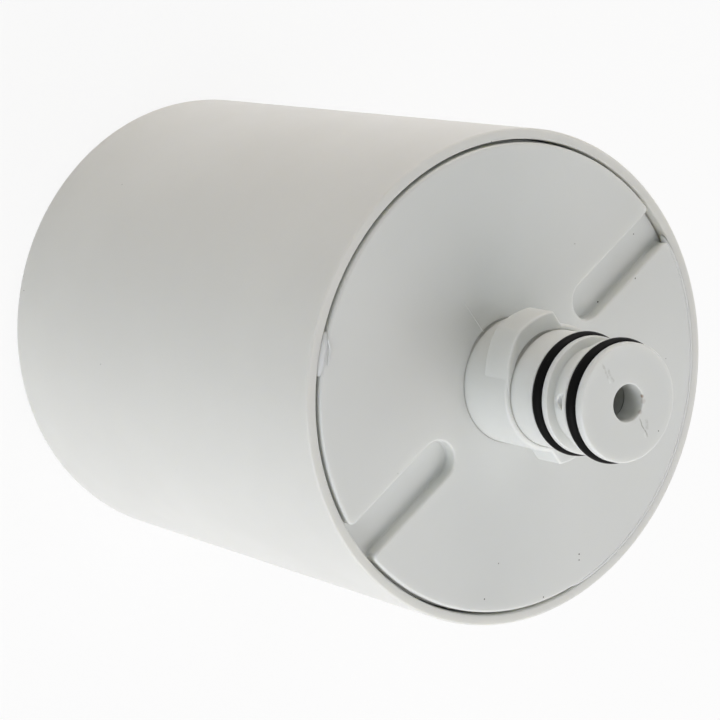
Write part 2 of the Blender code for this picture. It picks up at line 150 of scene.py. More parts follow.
class CapSettings(bpy.types.PropertyGroup):
    """Sizes of the welded cap plate, its slots and the weld's flash."""

    proud: length_property("Proud", "How far the plate stands above the rim", 0.0005)
    plate: length_property("Plate", "Plate thickness", 0.0032)
    edge_round: length_property("Edge round", "Round of the plate's edge", 0.0005)
    trap_width: length_property("Trap width", "Width of the gap round the plate", 0.0005)
    trap_depth: length_property("Trap depth", "Depth of the gap round the plate", 0.0022)
    skirt_wall: length_property("Skirt wall", "Wall of the skirt in the housing", 0.0022)
    skirt_reach: length_property("Skirt reach", "Length of the skirt in the housing", 0.0080)
    slot_width: length_property("Slot width", "Width of the drive slots", 0.0068)
    slot_depth: length_property("Slot depth", "Depth of the drive slots", 0.0023)
    slot_start: length_property("Slot start", "Radius of the slots' inner ends", 0.0163)
    slot_rim_round: length_property("Slot rim", "Round of the slots' rims", 0.00035)
    slot_floor_round: length_property("Slot floor", "Round of the slots' floors", 0.0003)
    slot_mouth_round: length_property("Slot mouth", "Plan round of the slots' mouths", 0.0010)
    pocket_wall: length_property("Pocket wall", "Plate left under the slots", 0.0022)
    clearance: length_property("Clearance", "Gap between the cap and the housing", 0.0003)
    line_start: length_property("Line start", "Inner end of the mould line", 0.0106)
    line_end: length_property("Line end", "Outer end of the mould line", 0.0170)
    line_width: length_property("Line width", "Width of the mould line", 0.00022)
    line_angle: angle_property("Line angle", "Direction of the mould line", 90.5)
    flash_angle: angle_property("Flash angle", "Middle of the weld flash", 131.5)
    flash_arc: angle_property("Flash arc", "Length of the weld flash", 10.6)
    seal_angle: angle_property("Seal angle", "Middle of the closed part of the gap", 304.0)
    seal_arc: angle_property("Seal arc", "Length of the closed part of the gap", 104.0)
    facets: count_property("Facets", "Steps round the axis", 256)
    round_steps: count_property("Round steps", "Steps in each round", 4)


class NeckSettings(bpy.types.PropertyGroup):
    """Sizes of the neck, its bayonet lugs, its rings and the water ways in it."""

    collar_radius: length_property("Collar radius", "Radius of the collar", 0.0104)
    collar_height: length_property("Collar height", "Height above the plate", 0.0108)
    collar_wall: length_property("Collar wall", "Wall of the collar", 0.0028)
    collar_round: length_property("Collar round", "Round of the collar's edge", 0.0006)
    radius: length_property("Radius", "Radius of the sealing neck", 0.0095)
    land_round: length_property("Land round", "Round of the lands' edges", 0.00015)
    seam: length_property("Seam", "Width of the fine seams at the steps", 0.00013)
    root_length: length_property("Root length", "From the collar to the lower groove", 0.0052)
    mid_land: length_property("Middle land", "Land above the lower groove", 0.0012)
    waist_length: length_property("Waist length", "Length of the waist", 0.0037)
    waist_radius: length_property("Waist radius", "Radius of the waist", 0.0079)
    upper_land: length_property("Upper land", "Land below the upper groove", 0.0008)
    tip_land: length_property("Tip land", "Land above the upper groove", 0.0015)
    tip_round: length_property("Tip round", "Round of the tip's edge", 0.0003)
    ring_section: length_property("Ring section", "Thickness of the rings", 0.0024)
    ring_radius: length_property("Ring radius", "Outer radius of the rings", LOWER_RING[1].x)
    groove_slack: length_property("Groove slack", "Slack of the grooves", 0.0001)
    lug_radius: length_property("Lug radius", "Outer radius of the lugs", 0.0126)
    lug_height: length_property("Lug height", "Height of the lugs", 0.0060)
    lug_rise: length_property("Lug rise", "Step from the collar's top", 0.00006)
    lug_corner: length_property("Lug corner", "Plan round of the lugs' front", 0.0006)
    lug_round: length_property("Lug round", "Round of the lugs' edges", 0.0004)
    lug_back_round: length_property("Lug back", "Round of the lugs' backs", 0.0022)
    lug_end: length_property("Lug end", "From the axis to the lugs' flat ends", 0.0069)
    lug_crown: angle_property("Lug crown", "Direction where a lug's crown ends", 91.0)
    lug_foot: angle_property("Lug foot", "Direction where a lug's back ends", 148.0)
    port_radius: length_property("Port radius", "Radius of the side ports", 0.0012)
    port_rim: length_property("Port rim", "Softening of the ports' rims", 0.00025)
    port_angle: angle_property("Port angle", "Direction of a side port", 143.0)
    outlet_radius: length_property("Outlet radius", "Radius of the outlet", 0.0030)
    outlet_depth: length_property("Outlet depth", "Depth of the outlet's step", 0.0044)
    outlet_relief: length_property("Outlet relief", "Step behind the outlet", 0.0006)
    tube_wall: length_property("Tube wall", "Wall of the outlet tube", 0.0014)
    groove_wall: length_property("Groove wall", "Wall behind the grooves", 0.0012)
    inlet_shoulder: length_property("Inlet shoulder", "Slope below the lower groove", 0.0014)
    inlet_ceiling: length_property("Inlet ceiling", "Wall above the inlet", 0.0007)
    socket_radius: length_property("Socket radius", "Bore of the element's socket", 0.0053)
    socket_wall: length_property("Socket wall", "Wall of the socket", 0.0016)
    socket_drop: length_property("Socket drop", "From the plate to the socket", 0.0015)
    socket_length: length_property("Socket length", "Length of the socket", 0.0114)
    ring_facets: count_property("Ring facets", "Steps along a ring", 160)
    ring_sides: count_property("Ring sides", "Steps round a ring's section", 28)


class FinishSettings(bpy.types.PropertyGroup):
    """Colours and gloss of the plastics, the rubber and the filter element, with the colours of
    painted light and shade.
    """

    housing: colour_property("Housing", "Plastic of the housing", (0.725, 0.73, 0.70))
    cap: colour_property("Cap", "Plastic of the cap and neck", (0.725, 0.742, 0.722))
    rubber: colour_property("Rubber", "Rubber of the rings", (0.002, 0.002, 0.002))
    # The colour of dust specks in the plastic, which is also laid as painted shadow below the
    # outlet's step.
    speck_and_shadow: colour_property("Speck", "Specks of dust in the plastic", (0.10, 0.09, 0.08))
    # Painted light: a pale colour laid inside the side ports, standing in for the light that
    # fills them through the milky plastic.
    inner: colour_property("Inner", "Clean plastic in the side ports", (0.97, 0.98, 0.95))
    scuff: colour_property("Scuff", "Marks on the tip", (0.36, 0.36, 0.32))
    # Painted shade: the brown-grey laid in occluded corners, on the collar's shaded side and on
    # the plate beside it, where shade falls.
    painted_shade: colour_property("Grime", "Dirt in the corners", (0.24, 0.22, 0.18))
    stain: colour_property("Stain", "Brown mark at the outlet", (0.24, 0.15, 0.09))
    carbon: colour_property("Carbon", "Bonded carbon", (0.02, 0.02, 0.02))
    fleece: colour_property("Fleece", "Non-woven wrap", (0.75, 0.75, 0.72))
    element: colour_property("Element", "Plastic of the block's caps", (0.70, 0.70, 0.68))
    glue: colour_property("Glue", "Hot-melt beds", (0.72, 0.66, 0.50))
    plastic_roughness: factor_property("Plastic roughness", "Gloss of the plastic", 0.40)
    rubber_roughness: factor_property("Rubber roughness", "Gloss of the rings", 0.45)
    milkiness: factor_property("Milkiness", "Light that passes through the plastic's skin", 0.6)
    milk_depth: length_property("Milk depth", "How deep the light goes in the plastic", 0.0018)
    milk_tint: colour_property("Milk tint", "Depth for each colour of light", (1.0, 0.97, 0.85))


class StageSettings(bpy.types.PropertyGroup):
    """The camera at the photograph's viewing angle, the floor, the background and the room."""

    azimuth: angle_property("Azimuth", "Camera's direction about the axis", 217.76)
    elevation: angle_property("Elevation", "Camera's height above the horizon", 53.20)
    roll: angle_property("Roll", "Camera's turn about its own axis", 102.10)
    place: bpy.props.FloatVectorProperty(
        name="Place", description="Camera's place", size=3, unit="LENGTH",
        subtype="TRANSLATION", default=(-0.19195, 0.24424, 0.46712))
    lens: bpy.props.FloatProperty(name="Lens", description="Focal length on a 36 mm sensor",
                                  default=148.42, unit="CAMERA")
    floor_size: length_property("Floor size", "Side of the floor", 6.0)
    floor_colour: colour_property("Floor", "Paper of the floor", (0.95, 0.95, 0.95))
    backdrop: factor_property("Backdrop", "Brightness of the background", 1.0)
    floor_glow: factor_property("Floor glow", "Share of plain white in the floor", 0.88)
    ambient: factor_property("Ambient", "Brightness of the room", 0.12)
    room_colour: colour_property("Room", "Colour of the room's light", (1.0, 0.98, 0.80))


def rounded(corners, steps):
    """Points of an open outline; a corner is (radius, height) or has a fillet as third."""
    points = []
    for index, corner in enumerate(corners):
        fillet = corner[2] if len(corner) > 2 else 0.0
        if not fillet:
            points.append((corner[0], corner[1]))
            continue
        here = complex(corner[0], corner[1])
        before = complex(*corners[index - 1][:2]) - here
        after = complex(*corners[index + 1][:2]) - here
        before /= abs(before)
        after /= abs(after)
        half = math.acos(max(-1.0, min(1.0, (before * after.conjugate()).real))) / 2
        middle = (before + after) / abs(before + after)
        centre = here + middle * fillet / math.sin(half)
        start = here + before * fillet / math.tan(half) - centre
        end = here + after * fillet / math.tan(half) - centre
        sweep = math.atan2((start.conjugate() * end).imag, (start.conjugate() * end).real)
        for step in range(steps + 1):
            turn = sweep * step / steps
            point = centre + start * complex(math.cos(turn), math.sin(turn))
            points.append((point.real, point.imag))
    return points


def spin_round(work, facets):
    """Spins a bmesh that holds one outline once round the axis."""
    bmesh.ops.spin(work, geom=work.verts[:] + work.edges[:], cent=(0.0, 0.0, 0.0),
                   axis=(0.0, 0.0, 1.0), dvec=(0.0, 0.0, 0.0), angle=math.tau, steps=facets,
                   use_merge=True, use_duplicate=False)
    bmesh.ops.remove_doubles(work, verts=work.verts, dist=MERGE)
    bmesh.ops.recalc_face_normals(work, faces=work.faces)


def spun(corners, closed, facets, steps):
    """A bmesh of a profile in the XZ plane, spun about the axis."""
    work = bmesh.new()
    verts = [work.verts.new((x, 0.0, z)) for x, z in rounded(corners, steps)]
    for pair in zip(verts, verts[1:]):
        work.edges.new(pair)
    if closed:
        work.edges.new((verts[-1], verts[0]))
    spin_round(work, facets)
    return work


def level(height, points):
    """A flat outline at a height."""
    return [(x, y, height) for x, y in points]


def oval(angle, radius, height, wide, tall):
    """An upright oval outline, facing round the axis: a section of a bead or a groove."""
    turns = [math.tau * side / BEAD_SIDES for side in range(BEAD_SIDES)]
    reach = [radius + wide * math.cos(turn) for turn in turns]
    return [(r * math.cos(angle), r * math.sin(angle), height + tall * math.sin(turn))
            for r, turn in zip(reach, turns)]


def lofted(outlines):
    """A bmesh of a closed solid through outlines with as many points each."""
    work = bmesh.new()
    rings = []
    for points in outlines:
        verts = [work.verts.new(point) for point in points]
        rings.append([work.edges.new((verts[i - 1], verts[i])) for i in range(len(verts))])
    bmesh.ops.contextual_create(work, geom=rings[0])
    bmesh.ops.contextual_create(work, geom=rings[-1])
    for lower, upper in zip(rings, rings[1:]):
        bmesh.ops.bridge_loops(work, edges=lower + upper)
    bmesh.ops.recalc_face_normals(work, faces=work.faces)
    return work


def new_piece(name, work):
    """An object made from a bmesh, which is used up."""
    mesh = bpy.data.meshes.new(name)
    work.to_mesh(mesh)
    work.free()
    piece = bpy.data.objects.new(name, mesh)
    bpy.context.scene.collection.objects.link(piece)
    return piece


def combine(piece, operation, name, work):
    """Adds an exact Boolean with a tool made from a bmesh, which is settled later."""
    modifier = piece.modifiers.new(name, "BOOLEAN")
    modifier.operation = operation
    modifier.solver = "EXACT"
    modifier.object = new_piece(name, work)


def settle(piece):
    """Makes the piece's Booleans part of its mesh and removes their tools."""
    tools = [modifier.object for modifier in piece.modifiers]
    shown = piece.evaluated_get(bpy.context.evaluated_depsgraph_get())
    mesh = bpy.data.meshes.new_from_object(shown)
    work = bmesh.new()
    work.from_mesh(mesh)
    bmesh.ops.remove_doubles(work, verts=work.verts, dist=MERGE)
    bmesh.ops.dissolve_degenerate(work, edges=work.edges, dist=MERGE)
    work.to_mesh(mesh)
    work.free()
    piece.modifiers.clear()
    piece.data = mesh
    mesh.name = piece.name
    for tool in tools:
        bpy.data.objects.remove(tool, do_unlink=True)


def soften(piece):
    """Smooth shading with the flat faces kept flat and the sharp edges kept sharp."""
    piece.data.shade_smooth()
    piece.data.set_sharp_from_angle(angle=SMOOTH_ANGLE)
    weighted = piece.modifiers.new("Face Weighting", "WEIGHTED_NORMAL")
    weighted.keep_sharp = True


def finish_piece(piece, material, slot, *nodes):
    """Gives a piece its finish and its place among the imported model's nodes."""
    piece.data.materials.clear()
    piece.data.materials.append(material)
    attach(piece, "root")
    if nodes:
        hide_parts(*nodes)


def arc(radius, start, end, steps):
    """Points on a circle about the axis, with the angles in radians."""
    angles = [start + (end - start) * i / steps for i in range(steps + 1)]
    return [(radius * math.cos(a), radius * math.sin(a)) for a in angles]


def turn_points(points, angle):
    """Points of a plan, turned about the axis."""
    c = math.cos(angle)
    s = math.sin(angle)
    return [(c * x - s * y, s * x + c * y) for x, y in points]


def round_turns(full, steps):
    """Angles from 0 to the full one."""
    return [full * step / steps for step in range(steps + 1)]


def face_height():
    """Height of the cap plate's outer face."""
    scene = bpy.context.scene
    return scene.filter_housing.length + scene.filter_cap.proud


def mouth_radius():
    """Inner radius of the housing's mouth."""
    cup = bpy.context.scene.filter_housing
    return cup.radius - cup.lip_wall


def disc_radius():
    """Radius of the cap plate."""
    return mouth_radius() - bpy.context.scene.filter_cap.trap_width


def recess(outline, turn, face, inward, depth, rim, corner, steps):
    """Cutter of a recess with a rounded floor edge and rim; outline(grown) is its plan."""
    plans = [(depth - corner * (1 - math.cos(t)), -corner * (1 - math.sin(t)))
             for t in round_turns(math.pi / 2, steps)]
    plans += [(rim * (1 - math.sin(t)), rim * (1 - math.cos(t)))
              for t in round_turns(RIM_TURN, steps)]
    last_depth, last_grown = plans[-1]
    rise = last_depth + rim * RIM_LIFT
    plans.append((last_depth - rise, last_grown + rise * math.tan(RIM_TURN)))
    return lofted([level(face + inward * down, turn_points(outline(grown), turn))
                   for down, grown in plans])


class Finish:
    """A node material, with short calls for the nodes that the finishes share."""

    def __init__(self, name, colour, roughness):
        self.material = bpy.data.materials.new(name)
        self.material.use_nodes = True
        self.material.diffuse_color = (*colour, 1.0)
        self.tree = self.material.node_tree
        self.shader = self.tree.nodes["Principled BSDF"]
        self.shader.inputs["Base Color"].default_value = (*colour, 1.0)
        self.shader.inputs["Roughness"].default_value = roughness
        self.coordinates = self.tree.nodes.new("ShaderNodeTexCoord").outputs["Object"]
        self.body = colour

    def link(self, output, node_input):
        self.tree.links.new(output, node_input)

    def noise(self, scale, detail, stretch=None):
        """Value of a noise pattern of the given scale, in features a metre."""
        node = self.tree.nodes.new("ShaderNodeTexNoise")
        node.inputs["Scale"].default_value = scale
        node.inputs["Detail"].default_value = detail
        if stretch:
            self.link(self.mapped(scale=stretch), node.inputs["Vector"])
        else:
            self.link(self.coordinates, node.inputs["Vector"])
        return node.outputs["Fac"]

    def mapped(self, location=(0.0, 0.0, 0.0), rotation=(0.0, 0.0, 0.0), scale=(1.0, 1.0, 1.0)):
        """Object coordinates through a Mapping node."""
        node = self.tree.nodes.new("ShaderNodeMapping")
        node.inputs["Location"].default_value = location
        node.inputs["Rotation"].default_value = rotation
        node.inputs["Scale"].default_value = scale
        self.link(self.coordinates, node.inputs["Vector"])
        return node.outputs["Vector"]

    def ramp(self, value, low, high, to_low=0.0, to_high=1.0):
        """A value mapped smoothly from one range to another."""
        node = self.tree.nodes.new("ShaderNodeMapRange")
        node.interpolation_type = "SMOOTHSTEP"
        node.inputs["From Min"].default_value = low
        node.inputs["From Max"].default_value = high
        node.inputs["To Min"].default_value = to_low
        node.inputs["To Max"].default_value = to_high
        self.link(value, node.inputs["Value"])
        return node.outputs["Result"]

    def fall(self, value, low, high, full=1.0):
        """The full value below a range and 0 above it."""
        return self.ramp(value, low, high, full, 0.0)

    def times(self, first, second):
        """Product of a socket and a socket or a number."""
        return self.math("MULTIPLY", first, second)

    def math(self, operation, first, second=0.0):
        """A Math node; the second value is a socket or a number."""
        node = self.tree.nodes.new("ShaderNodeMath")
        node.operation = operation
        self.link(first, node.inputs[0])
        if isinstance(second, (int, float)):
            node.inputs[1].default_value = second
        else:
            self.link(second, node.inputs[1])
        return node.outputs["Value"]

    def mix(self, factor, first, second):
        """A colour mix; the factor is a socket, a colour a socket or three numbers."""
        node = self.tree.nodes.new("ShaderNodeMix")
        node.data_type = "RGBA"
        self.link(factor, node.inputs["Factor"])
        for socket, colour in ((node.inputs["A"], first), (node.inputs["B"], second)):
            if isinstance(colour, bpy.types.NodeSocket):
                self.link(colour, socket)
            else:
                socket.default_value = (*colour, 1.0)
        return node.outputs["Result"]

    def near(self, place, radius, softness):
        """1 inside a ball about a place on the piece, 0 outside it."""
        node = self.tree.nodes.new("ShaderNodeVectorMath")
        node.operation = "DISTANCE"
        self.link(self.coordinates, node.inputs[0])
        node.inputs[1].default_value = place
        return self.fall(node.outputs["Value"], radius - softness, radius + softness)

    def drum(self, radius, low, high, softness):
        """1 within a radius of the axis between two heights, 0 outside them."""
        parts = self.tree.nodes.new("ShaderNodeSeparateXYZ")
        self.link(self.coordinates, parts.inputs["Vector"])
        height = parts.outputs["Z"]
        above = self.ramp(height, low - softness, low + softness)
        below = self.fall(height, high - softness, high + softness)
        inner = self.fall(self.spread(), radius, radius + softness)
        return self.times(inner, self.times(above, below))

    def spread(self):
        """Distance from the axis."""
        node = self.tree.nodes.new("ShaderNodeVectorMath")
        node.operation = "LENGTH"
        self.link(self.mapped(scale=(1.0, 1.0, 0.0)), node.inputs[0])
        return node.outputs["Value"]

    def corners(self, reach, strength):
        """Ambient occlusion as a mask for painted shade: the strength in the foot of a corner, 0
        further from it than the reach.
        """
        node = self.tree.nodes.new("ShaderNodeAmbientOcclusion")
        node.samples = 8
        node.only_local = True
        node.inputs["Distance"].default_value = reach
        return self.fall(node.outputs["AO"], low=0.45, high=0.75, full=strength)

    def bump(self, height, distance, strength, under=None):
        """A Bump node; under is the output of a coarser one."""
        node = self.tree.nodes.new("ShaderNodeBump")
        node.inputs["Distance"].default_value = distance
        node.inputs["Strength"].default_value = strength
        self.link(height, node.inputs["Height"])
        if under:
            self.link(under, node.inputs["Normal"])
        return node.outputs["Normal"]

    def colour(self, output):
        """Sets the base colour, which paint then lays others over."""
        self.body = output
        self.link(output, self.shader.inputs["Base Color"])

    def paint(self, mask, colour, strength=1.0):
        """Lays a colour over the finish where the mask is 1, as strongly as given."""
        if strength < 1.0:
            mask = self.times(mask, strength)
        self.colour(self.mix(mask, self.body, colour))

    def roughness(self, output):
        self.link(output, self.shader.inputs["Roughness"])

    def normal(self, output):
        self.link(output, self.shader.inputs["Normal"])


def shade(colour, factor):
    """A colour made lighter or darker."""
    return tuple(channel * factor for channel in colour)


def plastic_finish(name, colour, roughness, specks, corner_shade):
    """Satin moulded plastic, faintly milky: clouding, fine grain, embedded specks and painted
    shade in the corners.

    The specks are given as a share of the dust pattern's cells, and corner_shade as the strength
    of the painted shade laid where the corners are occluded. That shade is faint round the neck,
    but for one side of the collar, where a painted shadow is laid.
    """
    settings = bpy.context.scene.filter_finish
    neck = bpy.context.scene.filter_neck
    finish = Finish(name, colour, roughness)
    finish.shader.inputs["Subsurface Weight"].default_value = settings.milkiness
    finish.shader.inputs["Subsurface Radius"].default_value = settings.milk_tint
    finish.shader.inputs["Subsurface Scale"].default_value = settings.milk_depth
    cloud = finish.ramp(finish.noise(scale=28.0, detail=3.0), low=0.3, high=0.7)
    finish.colour(finish.mix(cloud, shade(colour, 0.975), shade(colour, 1.015)))

    dust = finish.tree.nodes.new("ShaderNodeTexVoronoi")
    dust.inputs["Scale"].default_value = 300.0
    finish.link(finish.coordinates, dust.inputs["Vector"])
    dot = finish.fall(dust.outputs["Distance"], low=0.02, high=0.035)
    chosen = finish.tree.nodes.new("ShaderNodeSeparateColor")
    finish.link(dust.outputs["Color"], chosen.inputs["Color"])
    rare = finish.math("GREATER_THAN", chosen.outputs["Red"], 1.0 - specks)
    finish.paint(finish.times(dot, rare), settings.speck_and_shadow)

    # Painted shade in the occluded corners: faint round the neck, full on the plate, and full in
    # a ball on the collar's shaded side, where a painted shadow lies.
    collar_side = (0.0, neck.radius, CAP_HIGH.z - 0.0228)
    collar_shadow = finish.near(collar_side, radius=0.0070, softness=0.0015)
    fade = 0.001
    beyond_neck = finish.ramp(finish.spread(), neck.lug_radius, neck.lug_radius + fade,
                              to_low=0.3)
    painted_shade_mask = finish.times(finish.corners(reach=0.0008, strength=corner_shade),
                         finish.math("MAXIMUM", beyond_neck, collar_shadow))
    finish.paint(painted_shade_mask, settings.painted_shade)

    finish.roughness(finish.ramp(finish.noise(scale=90.0, detail=4.0), low=0.25, high=0.75,
                                 to_low=roughness - 0.04, to_high=roughness + 0.05))
    wave = finish.bump(finish.noise(scale=45.0, detail=1.0), distance=0.0004, strength=0.10)
    grain = finish.noise(scale=3200.0, detail=2.0)
    finish.normal(finish.bump(grain, distance=0.00003, strength=0.12, under=wave))
    return finish


def housing_finish():
    """The housing's plastic."""
    settings = bpy.context.scene.filter_finish
    return plastic_finish("housing_polypropylene", settings.housing,
                          settings.plastic_roughness, specks=0.06, corner_shade=0.50).material


def flash_finish():
    """The weld's plastic: smoother than the cap, without specks or corner shade, and painted
    paler than the cap as painted light, so that the burr's lit streak and the filling show
    bright.
    """
    settings = bpy.context.scene.filter_finish
    # Painted light: the colour is the cap's, made paler.
    return plastic_finish("flash_polypropylene", shade(settings.cap, 1.12),
                          settings.plastic_roughness - 0.05, specks=0.0, corner_shade=0.0).material


def scuff(finish, start, end, width, tip):
    """A soft scratch on the tip between two places, broken up by noise."""
    along = Vector(end) - Vector(start)
    lean = -math.atan2(along.y, along.x)
    middle = Matrix.Rotation(lean, 2) @ (Vector(start) + Vector(end)) / 2
    place = finish.mapped(location=(-middle.x, -middle.y, 0.0), rotation=(0.0, 0.0, lean))
    parts = finish.tree.nodes.new("ShaderNodeSeparateXYZ")
    finish.link(place, parts.inputs["Vector"])
    wander = 0.0007
    drift = finish.math("SUBTRACT", finish.noise(scale=700.0, detail=2.0), 0.5)
    across = finish.math("ADD", parts.outputs["Y"], finish.times(drift, wander))
    core = width * 0.4
    rim = width * 1.3
    mark = finish.fall(finish.math("ABSOLUTE", across), core, rim)
    half = along.length / 2
    full_length = half * 0.6
    mark = finish.times(mark, finish.fall(finish.math("ABSOLUTE", parts.outputs["X"]),
                                          full_length, half))
    mark = finish.times(mark, finish.ramp(parts.outputs["Z"], tip - 0.0003, tip - 0.0001))
    worn = finish.ramp(finish.noise(scale=1800.0, detail=3.0), low=0.35, high=0.60, to_low=0.35)
    return finish.times(mark, worn)


def add_specks(finish, face, tip):
    """The single specks on the plate, in the slots and on the tip."""
    slot_floor = face - bpy.context.scene.filter_cap.slot_depth
    specks = (
        (0.0222, -0.0031, slot_floor, 0.00015),
        (0.0349, 0.0009, slot_floor, 0.00011),
        (0.0294, -0.0039, face, 0.00013),
        (-0.0265, -0.0250, face, 0.00013),
        (-0.0174, -0.0337, face, 0.00012),
        (-0.0208, -0.0223, face, 0.00010),
        (-0.0075, -0.0333, face, 0.00014),
        (-0.0081, -0.0341, face, 0.00012),
        (0.0229, 0.0095, face, 0.00008),
        (0.0020, -0.0079, tip, 0.00010),
    )
    for x, y, z, radius in specks:
        finish.paint(finish.near((x, y, z), radius, softness=0.00004),
                     bpy.context.scene.filter_finish.speck_and_shadow)


def mark_tip(finish, tip):
    """The scuffs on the tip, with painted highlights beside two of them, and the brown stains at
    the outlet.
    """
    settings = bpy.context.scene.filter_finish
    # Painted highlights: paler strands that stand in for glints along the scuffs.
    light = shade(settings.cap, 1.15)
    for start, end, width, strength, colour in (
            ((-0.0002, 0.0088), (-0.0009, 0.0054), 0.00022, 0.40, settings.scuff),
            ((0.0001, 0.0075), (-0.0003, 0.0044), 0.00026, 0.35, settings.scuff),
            ((-0.0008, 0.0060), (-0.0009, 0.0049), 0.00016, 0.80, light),
            ((0.0003, -0.0032), (-0.0003, -0.0074), 0.00012, 0.80, settings.scuff),
            ((0.0013, -0.0045), (0.0003, -0.0062), 0.00030, 0.35, settings.scuff),
            ((-0.0004, -0.0060), (-0.0008, -0.0070), 0.00016, 0.60, light)):
        finish.paint(scuff(finish, start, end, width, tip), colour, strength)
    for x, y, radius, strength in ((0.0027, -0.0011, 0.00030, 0.85),
                                   (0.0025, -0.0019, 0.00040, 0.25),
                                   (0.0010, -0.0028, 0.00035, 0.35)):
        rust = finish.near((x, y, tip - 0.0001), radius, softness=0.0002)
        finish.paint(rust, settings.stain, strength)


def tint_water_ways(finish, tip):
    """Painted light and shade in the water ways: the inside of the side ports made pale for the
    light that fills them, and painted shadow below the outlet's step.
    """
    settings = bpy.context.scene.filter_finish
    neck = bpy.context.scene.filter_neck
    skin = 0.0002
    low = tip - 0.0090
    high = tip - 0.0050
    # Painted light: the pale colour inside the side ports, but not in the outlet tube.
    chamber = finish.drum(neck.waist_radius - skin, low, high, softness=0.0001)
    tube = finish.drum(neck.outlet_radius + neck.outlet_relief + neck.tube_wall / 2,
                       low, tip, softness=0.0001)
    finish.paint(finish.math("SUBTRACT", chamber, tube), settings.inner)
    # Painted shadow below the outlet's step: a faint band down the relief and a dark narrow ring
    # just under the step.
    step = tip - neck.outlet_depth
    relief = neck.outlet_radius + neck.outlet_relief + MERGE
    for length, strength in ((neck.outlet_depth * 2, 0.10), (0.0009, 0.60)):
        shadow = finish.drum(relief, step - length, step, softness=0.00003)
        finish.paint(shadow, settings.speck_and_shadow, strength)


def cap_finish(face, tip):
    """The cap's plastic, with its own specks, marks and stains, and painted light and shade in
    the water ways and beside the collar.
    """
    settings = bpy.context.scene.filter_finish
    finish = plastic_finish("cap_polypropylene", settings.cap, settings.plastic_roughness,
                            specks=0.10, corner_shade=0.55)
    add_specks(finish, face, tip)
    mark_tip(finish, tip)
    tint_water_ways(finish, tip)
    # Painted shade: a soft darker patch over the collar and lug on their shaded side.
    beside_collar = (-0.0005, 0.0112, face + 0.006)
    collar_shade_patch = finish.near(beside_collar, radius=0.0060, softness=0.0040)
    finish.paint(collar_shade_patch, settings.painted_shade, strength=0.12)
    return finish.material


def rubber_finish(name):
    """Black ring rubber with a thin film of grease and a little dust."""
    settings = bpy.context.scene.filter_finish
    finish = Finish(name, settings.rubber, settings.rubber_roughness)
    finish.shader.inputs["Specular IOR Level"].default_value = 0.06
    lint = finish.ramp(finish.noise(scale=1500.0, detail=5.0), low=0.66, high=0.74, to_high=0.5)
    finish.colour(finish.mix(lint, settings.rubber, shade(settings.speck_and_shadow, 0.25)))
    finish.roughness(finish.ramp(finish.noise(scale=500.0, detail=3.0), low=0.3, high=0.7,
                                 to_low=settings.rubber_roughness - 0.08,
                                 to_high=settings.rubber_roughness + 0.10))
    grain = finish.noise(scale=2400.0, detail=3.0)
    finish.normal(finish.bump(grain, distance=0.00003, strength=0.25))
    return finish.material


def carbon_finish():
    """Bonded carbon: dull black grains with paler flecks."""
    colour = bpy.context.scene.filter_finish.carbon
    finish = Finish("bonded_carbon", colour, roughness=0.9)
    grain = finish.noise(scale=1400.0, detail=5.0)
    fleck = (0.09, 0.09, 0.09)
    finish.colour(finish.mix(finish.ramp(grain, low=0.55, high=0.75), colour, fleck))
    finish.normal(finish.bump(grain, distance=0.0002, strength=0.6))
    return finish.material


def fleece_finish():
    """Non-woven fleece: crossing fibres pressed into a soft sheet."""
    colour = bpy.context.scene.filter_finish.fleece
    finish = Finish("polypropylene_fleece", colour, roughness=0.95)
    finish.shader.inputs["Sheen Weight"].default_value = 0.3
    rising = finish.noise(scale=900.0, detail=4.0, stretch=(1.0, 1.0, 0.18))
    lying = finish.noise(scale=700.0, detail=4.0, stretch=(0.25, 0.25, 2.2))
    fibres = finish.math("MAXIMUM", rising, lying)
    shown = finish.ramp(fibres, low=0.45, high=0.7)
    finish.colour(finish.mix(shown, shade(colour, 0.82), colour))
    finish.normal(finish.bump(fibres, distance=0.00015, strength=0.5))
    return finish.material


def glue_finish():
    """Hot-melt adhesive: glossy, pale and slightly lumpy."""
    colour = bpy.context.scene.filter_finish.glue
    finish = Finish("hot_melt_adhesive", colour, roughness=0.3)
    lumps = finish.noise(scale=260.0, detail=2.0)
    finish.colour(finish.mix(lumps, shade(colour, 0.93), colour))
    finish.normal(finish.bump(lumps, distance=0.0003, strength=0.3))
    return finish.material


def element_finish():
    """Natural plastic of the block's caps, with fine grain."""
    colour = bpy.context.scene.filter_finish.element
    finish = Finish("element_polypropylene", colour, roughness=0.5)
    cloud = finish.noise(scale=60.0, detail=2.0)
    finish.colour(finish.mix(cloud, shade(colour, 0.97), colour))
    grain = finish.noise(scale=3000.0, detail=2.0)
    finish.normal(finish.bump(grain, distance=0.00003, strength=0.15))
    return finish.material


